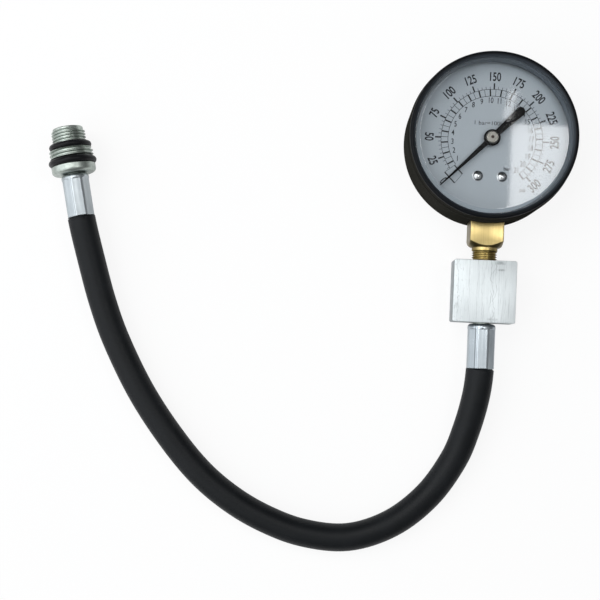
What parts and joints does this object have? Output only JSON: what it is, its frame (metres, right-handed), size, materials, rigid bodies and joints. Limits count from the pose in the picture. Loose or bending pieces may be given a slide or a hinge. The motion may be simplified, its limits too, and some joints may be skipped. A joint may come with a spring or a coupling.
{
  "type": "compression tester gauge",
  "caption": "Round dial pressure gauge on a square-shank stem, aluminium adapter block, crimped rubber hose and stepped spark plug end with O-rings, lying flat.",
  "frame": {"origin": "centre of the gauge case's flat back, on the pointer's axis", "axes": "+Z along the pointer's axis out of the dial, stem and hose leave towards -Y, +X to the right of the dial"},
  "size_m": [0.2163, 0.2056, 0.031],
  "materials": {
    "painted_black": "satin black paint",
    "clear_lens": "clear, polished",
    "black_rubber": "matte black rubber",
    "dial_metal": "fine satin silver",
    "bright_screws": "bright plated",
    "movement_brass": "stamped and turned brass",
    "pointer_black": "black paint",
    "hub_silver": "turned, polished",
    "bright_steel": "turned steel",
    "stem_brass": "machined yellow brass",
    "block_aluminium": "sawn and drawn bar, lightly scuffed",
    "ferrule_aluminium": "crimped, bright",
    "plated_steel": "zinc plated"
  },
  "bodies": {
    "tester": {"gauge_case": "painted_black", "bezel_ring": "painted_black", "lens": "clear_lens", "lens_gasket": "black_rubber", "dial_plate": "dial_metal", "dial_screws": "bright_screws", "dial_posts": "movement_brass", "hairspring": "movement_brass", "bourdon_tube": "movement_brass", "movement_bottom_plate": "movement_brass", "movement_top_plate": "movement_brass", "movement_pillars": "movement_brass", "stem_socket": "stem_brass", "case_screws": "bright_steel", "adapter_block": "block_aluminium", "hose_nipple": "plated_steel", "gauge_end_ferrule": "ferrule_aluminium", "hose": "black_rubber", "plug_end_ferrule": "ferrule_aluminium", "plug_fitting": "plated_steel", "small_o_ring": "black_rubber", "large_o_ring": "black_rubber", "valve_core": "movement_brass", "valve_seal": "black_rubber", "valve_spring": "bright_steel"},
    "pointer": {"pointer": "pointer_black", "pointer_hub": "hub_silver", "pinion_arbor": "bright_steel", "hairspring_collet": "movement_brass"},
    "sector": {"sector_gear": "movement_brass", "sector_arbor": "bright_steel", "tail_pin": "bright_steel"},
    "link": {"link": "movement_brass", "tip_pin": "bright_steel", "tube_end_piece": "movement_brass"},
    "valve": {"valve_pin": "movement_brass"}
  },
  "joints": [
    {"name": "pointer_spin", "type": "hinge", "parent": "tester", "child": "pointer", "pos_m": [0, 0, 0.023], "axis": [0, 0, -1], "range_deg": [0, 270], "stiffness_Nm_per_rad": 0.00005, "deforming": ["hairspring", "bourdon_tube"]},
    {"name": "sector_swing", "type": "hinge", "parent": "tester", "child": "sector", "pos_m": [0.01108, -0.01418, 0.014], "axis": [0, 0, -1], "range_deg": [-30.2, 0.2]},
    {"name": "link_swing", "type": "hinge", "parent": "sector", "child": "link", "pos_m": [0.01924, -0.01799, 0.015], "axis": [0, 0, -1], "range_deg": [-0.2, 30.2]},
    {"name": "valve_pin_slide", "type": "slide", "parent": "tester", "child": "valve", "axis": [0.2079, -0.9781, 0], "range_m": [0, 0.0012], "stiffness_N_per_m": 300, "deforming": ["valve_spring"]}
  ],
  "couplings": [
    {"joint": "sector_swing", "follows": "pointer_spin", "ratio": -0.11111},
    {"joint": "link_swing", "follows": "pointer_spin", "ratio": 0.11111}
  ]
}
